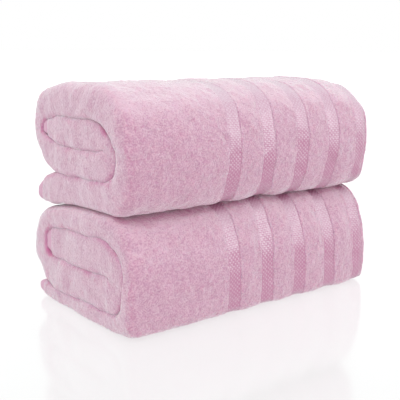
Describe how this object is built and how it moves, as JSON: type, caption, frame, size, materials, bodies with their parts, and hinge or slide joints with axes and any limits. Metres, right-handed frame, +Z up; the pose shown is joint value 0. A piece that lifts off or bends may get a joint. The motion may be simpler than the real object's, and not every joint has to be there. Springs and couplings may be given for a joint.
{
  "type": "bath towel set",
  "caption": "Stack of thick terry bath towels, each folded lengthwise and wrapped into a flat spiral, with woven satin bands near one end; the upper one lifts off.",
  "frame": {"origin": "bottom centre of the stack, on the surface it lies on", "axes": "+X along the folded length towards the woven bands, +Y towards the free side edges at the back, +Z up"},
  "size_m": [0.3631, 0.2064, 0.2513],
  "materials": {
    "terry_pile": "matte",
    "border_satin": "satin",
    "hem_weave": "matte",
    "stitch_thread": "satin"
  },
  "bodies": {
    "lower_towel": {"lower_terry_cloth": "terry_pile", "lower_border_band_1": "border_satin", "lower_border_band_2": "border_satin", "lower_border_band_3": "border_satin", "lower_border_band_4": "border_satin", "lower_border_band_5": "border_satin", "lower_border_end_hem": "hem_weave", "lower_plain_end_hem": "hem_weave", "lower_side_hem_outer": "hem_weave", "lower_side_hem_inner": "hem_weave", "lower_side_hem_stitching": "stitch_thread", "lower_end_hem_stitching": "stitch_thread"},
    "upper_towel": {"upper_terry_cloth": "terry_pile", "upper_border_band_1": "border_satin", "upper_border_band_2": "border_satin", "upper_border_band_3": "border_satin", "upper_border_band_4": "border_satin", "upper_border_band_5": "border_satin", "upper_border_end_hem": "hem_weave", "upper_plain_end_hem": "hem_weave", "upper_side_hem_outer": "hem_weave", "upper_side_hem_inner": "hem_weave", "upper_side_hem_stitching": "stitch_thread", "upper_end_hem_stitching": "stitch_thread"}
  },
  "joints": [
    {"name": "upper_towel_lift", "type": "slide", "parent": "lower_towel", "child": "upper_towel", "axis": [0, 0, 1], "range_m": [0, 0.3]}
  ]
}
